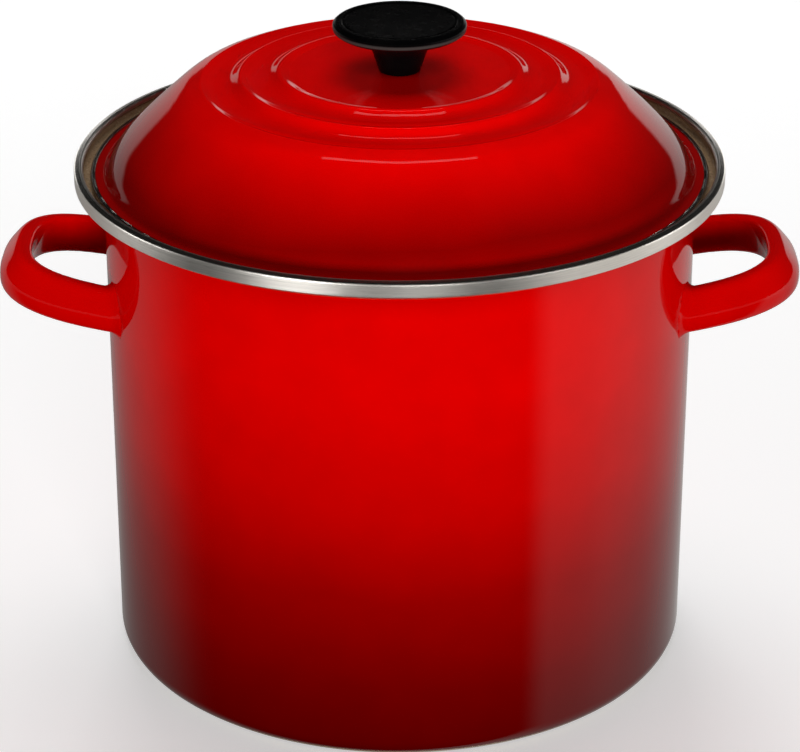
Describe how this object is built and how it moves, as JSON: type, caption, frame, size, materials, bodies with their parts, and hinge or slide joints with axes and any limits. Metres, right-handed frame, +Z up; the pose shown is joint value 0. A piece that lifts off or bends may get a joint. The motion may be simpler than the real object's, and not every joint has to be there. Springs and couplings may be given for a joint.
{
  "type": "stock pot",
  "caption": "Tall round enamelled steel stock pot with loop handles, steel-banded rim and a domed lift-off lid with a round knob.",
  "frame": {"origin": "on the floor at the centre of the base", "axes": "+Z up along the pot's axis, +X towards the right handle"},
  "size_m": [0.3088, 0.2478, 0.2533],
  "materials": {
    "red_enamel": "glossy vitreous enamel, bright red shading to dark maroon at the bottom of the wall; the cooking side is tan",
    "stainless_trim": "brushed stainless steel",
    "phenolic": "moulded black phenolic, satin",
    "brass_insert": "machined brass",
    "screw_steel": "bright stainless steel"
  },
  "bodies": {
    "pot": {"pot_body": "red_enamel", "pot_rim_band": "stainless_trim", "right_handle": "red_enamel", "left_handle": "red_enamel"},
    "lid": {"lid_shell": "red_enamel", "lid_rim_band": "stainless_trim", "knob": "phenolic", "knob_insert": "brass_insert", "knob_flat_washer": "screw_steel", "knob_lock_washer": "screw_steel", "knob_screw": "screw_steel"}
  },
  "joints": [
    {"name": "lid_lift", "type": "slide", "parent": "pot", "child": "lid", "axis": [0, 0, 1], "range_m": [0, 0.2]}
  ]
}
